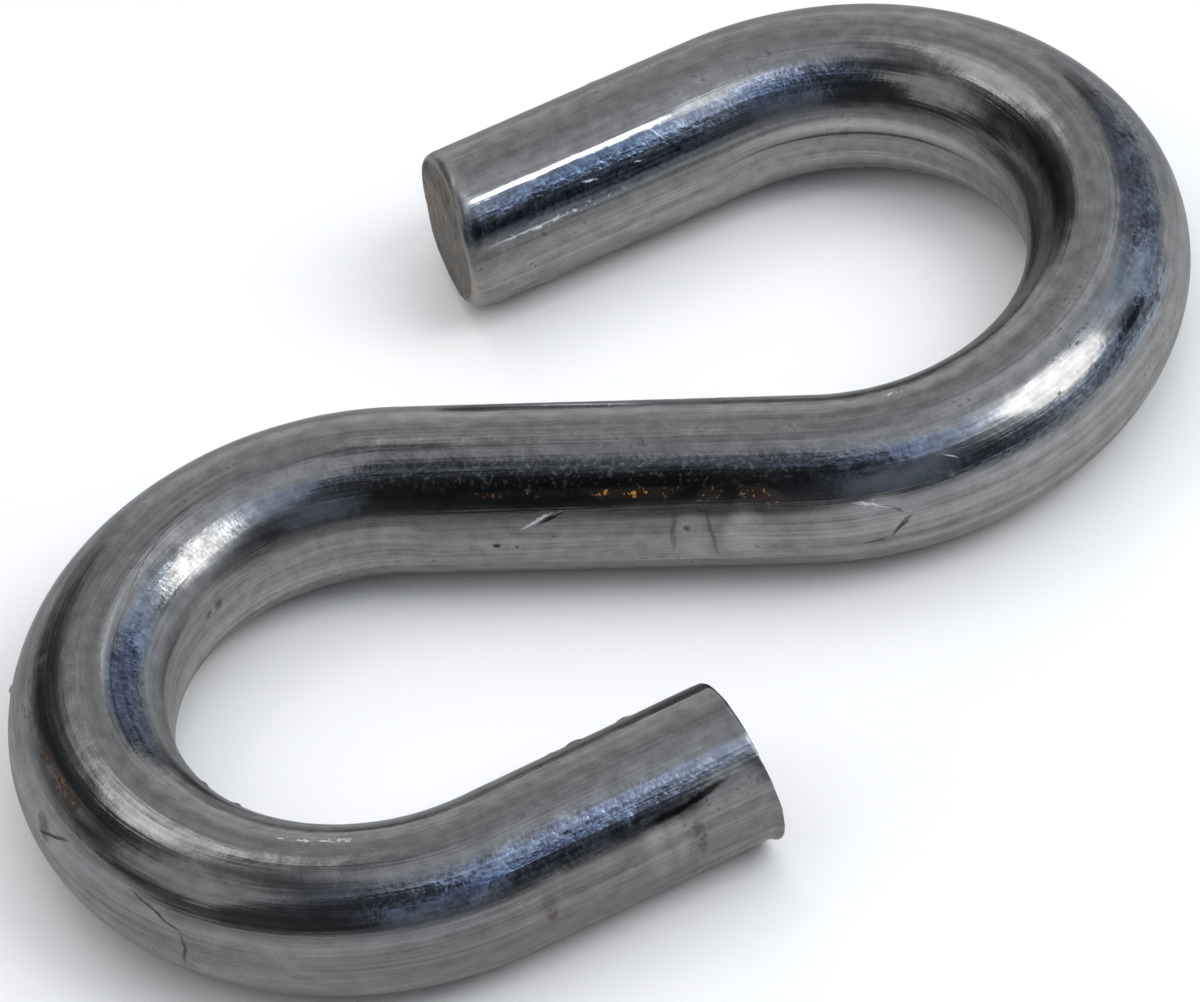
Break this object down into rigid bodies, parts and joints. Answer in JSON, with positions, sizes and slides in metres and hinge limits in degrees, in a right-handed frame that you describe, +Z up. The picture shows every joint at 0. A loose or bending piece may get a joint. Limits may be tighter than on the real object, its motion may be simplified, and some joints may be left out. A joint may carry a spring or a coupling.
{
  "type": "s hook",
  "caption": "Round steel wire bent into an S: an open hook at each end, with straight tips cut off square, zinc plated.",
  "frame": {"origin": "under the middle of the shank, on the surface that the hook lies on", "axes": "+X along the line of pull, from the lower eye to the upper eye; +Z up, square to the plane of the hook; +Y to the side that the upper tip points back over"},
  "size_m": [0.0423, 0.0262, 0.005],
  "materials": {
    "zinc_plated_steel": "bright zinc plate over drawn wire, glossy on the crown and satin along the sides"
  },
  "bodies": {
    "root": {"s_hook": "zinc_plated_steel"}
  },
  "joints": []
}
